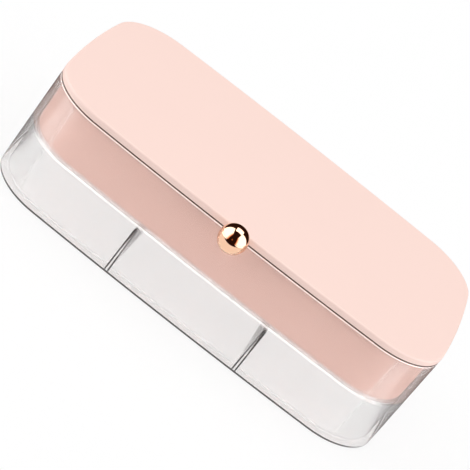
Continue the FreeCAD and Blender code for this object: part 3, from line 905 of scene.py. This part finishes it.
class JEWELLERY_OT_hinge_pins(bpy.types.Operator):
    """Builds the two steel hinge pins"""
    bl_idname = "jewellery.hinge_pins"
    bl_label = "Hinge Pins"

    def execute(self, context):
        chamfer = settings(context).knob.pin_chamfer
        long = PIN_HIGH.x - PIN_LOW.x
        profile = pin_profile(long, PIN_RADIUS, chamfer)
        for middle, node in ((-HINGE_X, "hinge_pin_left"), (HINGE_X, "hinge_pin_right")):
            origin = Vector((middle - long / 2, HINGE_Y, HINGE_Z))
            made = make_object("steel_" + node, turned(profile, Vector((1, 0, 0)), origin))
            finish_piece(made, material_named("pin steel", context), "tray", "pin_steel", node)
        return {"FINISHED"}


def pin_profile(long, radius, chamfer):
    """A round pin with both ends chamfered, as distance along it and radius."""
    return [(0.0, radius - chamfer), (chamfer, radius), (long - chamfer, radius), (long, radius - chamfer)]


class JEWELLERY_OT_knob(bpy.types.Operator):
    """Builds the plated ball knob, its neck and its steel stud"""
    bl_idname = "jewellery.knob"
    bl_label = "Ball Knob"

    def execute(self, context):
        knob = settings(context).knob
        axis = Vector((0, 1, 0))
        neck, flare = knob.neck_radius, knob.neck_flare
        end = BALL_HIGH.y - BALL_CENTRE.y
        waist = math.degrees(math.asin((neck + flare) / BALL_RADIUS))
        profile = [(along, max(radius, knob.pole))
                   for along, radius in arc((0.0, 0.0), BALL_RADIUS, 180, waist, 46)]
        profile += [(BALL_RADIUS + knob.neck_start, neck), (end, neck)]
        ball = make_object("ball_knob", turned(profile, axis, BALL_CENTRE, 96))
        finish_piece(ball, material_named("rose gold", context), "lid", "rose_metal", "knob_ball")
        chamfer, radius = knob.pin_chamfer, STUD_HIGH.x
        origin = Vector((0.0, STUD_LOW.y, BALL_CENTRE.z))
        profile = pin_profile(STUD_HIGH.y - STUD_LOW.y, radius, chamfer)
        stud = make_object("knob_stud_steel", turned(profile, axis, origin))
        finish_piece(stud, material_named("pin steel", context), "lid", "pin_steel", "knob_stud")
        return {"FINISHED"}


class JEWELLERY_OT_stage(bpy.types.Operator):
    """Sets the pale floor, the soft studio light and the camera"""
    bl_idname = "jewellery.stage"
    bl_label = "Stage"

    def execute(self, context):
        stage = settings(context).stage
        build_floor(stage)
        build_world(stage)
        build_cards(stage)
        build_camera(stage)
        view = context.scene.view_settings
        view.view_transform = "Standard"
        return {"FINISHED"}


def ray_kinds(graph):
    """Three masks: rays from the camera, rays through clear plastic and mirrored rays."""
    path = graph.node("ShaderNodeLightPath")
    camera, through, glossy = [Value(graph, path.outputs[name]) for name in
                               ("Is Camera Ray", "Is Transmission Ray", "Is Glossy Ray")]
    return camera, through, glossy * (1.0 - through)


def build_floor(stage):
    """A wide pale floor that keeps the object's shadow, its sheet small in reflections."""
    mesh = bmesh.new()
    bmesh.ops.create_grid(mesh, x_segments=8, y_segments=8, size=3.0,
                          matrix=Matrix.Translation((0, 0, -FLOOR_DROP)))
    floor = make_object("studio_floor", mesh)
    material, graph = new_material("studio floor")
    camera, through, mirrored = ray_kinds(graph)
    inside = graph.step_down(graph.size_of(graph.place_along("X")), stage.sheet_half, SHEET_EDGE)
    depth = graph.place_along("Y")
    inside = inside * graph.step_up(depth, stage.sheet_front, SHEET_EDGE)
    inside = inside * graph.step_down(depth, stage.sheet_back, SHEET_FADE)
    paint = graph.value("ShaderNodeBsdfDiffuse", "BSDF", None, {"Color": shaded(stage.floor_colour)})
    glow, dark = graph.light(WHITE), graph.light(shaded(stage.room))
    share_of_glow = camera * stage.floor_glow + through * stage.clear_glow + mirrored * stage.clear_glow
    seen = graph.value("ShaderNodeMixShader", 0, None, {0: share_of_glow, 1: paint, 2: glow})
    beyond = graph.value("ShaderNodeMixShader", 0, None, {0: mirrored * (1.0 - inside), 1: seen, 2: dark})
    graph.node("ShaderNodeOutputMaterial", None, {"Surface": beyond})
    floor.data.materials.append(material)


def build_world(stage):
    """Soft light from above and from both sides, white where it is seen and dark in mirrors."""
    world = bpy.data.worlds.new("studio")
    bpy.context.scene.world = world
    graph = Graph(world)
    camera, through, mirrored = ray_kinds(graph)
    place = graph.value("ShaderNodeTexCoord", "Generated")
    parts = graph.node("ShaderNodeSeparateXYZ", None, {"Vector": place})
    side, height = Value(graph, parts.outputs["X"]), Value(graph, parts.outputs["Z"])
    above = graph.clamped(height)
    strength = above * above * above * stage.zenith + side * side * side * side * stage.sides + stage.fill
    light = graph.light(WHITE, strength, "Background")
    plain = graph.light(WHITE, 1.0, "Background")
    room = graph.light(shaded(stage.room), 1.0, "Background")
    seen = graph.value("ShaderNodeMixShader", 0, None, {0: camera + through, 1: light, 2: plain})
    mixed = graph.value("ShaderNodeMixShader", 0, None, {0: mirrored, 1: seen, 2: room})
    graph.node("ShaderNodeOutputWorld", None, {"Surface": mixed})


# How a card is turned from lying flat
CARD_TURNS = {
    "flat": Matrix(),
    "to the side": Matrix.Rotation(math.radians(90), 4, "Y"),
    "to the front": Matrix.Rotation(math.radians(90), 4, "X"),
}


def build_cards(stage):
    """Soft boxes, white sheets, a dark screen and a small lamp, as in a photographer's studio.

    They show only in reflections and some of them through clear plastic. The camera
    doesn't see them and they cast no shadow.
    """
    white, box = (1.0, 1.0, 1.0), stage.softbox
    cards = (
        ("softbox_left", (-0.62, -0.46, 0.66), (0.65, 0.70), "to the side", white, box, True),
        ("softbox_right", (0.62, -0.46, 0.66), (0.65, 0.70), "to the side", white, box, True),
        ("softbox_above", (0.08, 0.26, 1.05), (0.42, 0.37), "flat", white, box, True),
        ("sheet_left", (-0.41, -0.1, 0.0005), (0.195, 0.34), "flat", white, box, False),
        ("sheet_right", (0.41, -0.1, 0.0005), (0.195, 0.34), "flat", white, box, False),
        ("screen_front", (0.0, -1.20, 0.62), (0.60, 0.52), "to the front", stage.room, 1.0, True),
        ("lamp_front", (-0.06, -1.10, 0.36), (0.045, 0.08), "to the front", stage.flare, 2.2, False),
    )
    for name, place, half, turn, tint, strength, through in cards:
        mesh = bmesh.new()
        bmesh.ops.create_grid(mesh, x_segments=2, y_segments=2, size=1.0)
        matrix = Matrix.Translation(place) @ CARD_TURNS[turn] @ Matrix.Diagonal((*half, 1.0, 1.0))
        bmesh.ops.transform(mesh, matrix=matrix, verts=mesh.verts)
        card = make_object(name, mesh)
        material, graph = new_material(name)
        inner = 1.0
        if turn == "to the side":
            inner = graph.step_down(0.0 - graph.place_along("Y"), *SOFTBOX_EDGE)
        shade = graph.mix_colour(inner, shaded(stage.flare), shaded(tint))
        graph.node("ShaderNodeOutputMaterial", None, {"Surface": graph.light(shade, strength)})
        card.data.materials.append(material)
        card.visible_camera = False
        card.visible_diffuse = False
        card.visible_shadow = False
        card.visible_transmission = through


def build_camera(stage):
    """The photograph's camera: long lens, looking down, rolled on its own axis."""
    data = bpy.data.cameras.new("camera")
    data.lens = stage.camera_lens
    data.sensor_width = 36.0
    camera = bpy.data.objects.new("camera", data)
    bpy.context.scene.collection.objects.link(camera)
    target = Vector((stage.camera_aside, 0.0, stage.camera_target))
    back = Vector((0.0, -math.cos(stage.camera_pitch), math.sin(stage.camera_pitch)))
    back.rotate(Quaternion((0, 0, 1), stage.camera_yaw))
    look = (-back).to_track_quat("-Z", "Y")
    camera.location = target + back * stage.camera_distance
    camera.rotation_euler = (look @ Quaternion((0, 0, 1), stage.camera_roll)).to_euler()
    bpy.context.scene.camera = camera


class JEWELLERY_PT_panel(bpy.types.Panel):
    """Lists the pieces of the jewellery box"""
    bl_label = "Jewellery Box"
    bl_idname = "JEWELLERY_PT_panel"
    bl_space_type = "VIEW_3D"
    bl_region_type = "UI"
    bl_category = "Jewellery Box"

    def draw(self, context):
        layout = self.layout
        for operator in OPERATORS:
            layout.operator(operator.bl_idname)
        for group in ("case", "tray", "knob", "finish", "stage"):
            box = layout.box()
            box.label(text=group.capitalize())
            owner = getattr(settings(context), group)
            for name in owner.__annotations__:
                box.prop(owner, name)


OPERATORS = (
    JEWELLERY_OT_case,
    JEWELLERY_OT_shelf,
    JEWELLERY_OT_tray,
    JEWELLERY_OT_lid,
    JEWELLERY_OT_hinge_pins,
    JEWELLERY_OT_knob,
    JEWELLERY_OT_stage,
)
CLASSES = SETTINGS + (BoxSettings,) + OPERATORS + (JEWELLERY_PT_panel,)


def register():
    for cls in CLASSES:
        bpy.utils.register_class(cls)
    bpy.types.Scene.jewellery_box = PointerProperty(type=BoxSettings)


def unregister():
    del bpy.types.Scene.jewellery_box
    for cls in reversed(CLASSES):
        bpy.utils.unregister_class(cls)


def main():
    register()
    for name in ("case", "shelf", "tray", "lid", "hinge_pins", "knob", "stage"):
        getattr(bpy.ops.jewellery, name)()


if __name__ == "__main__":
    main()
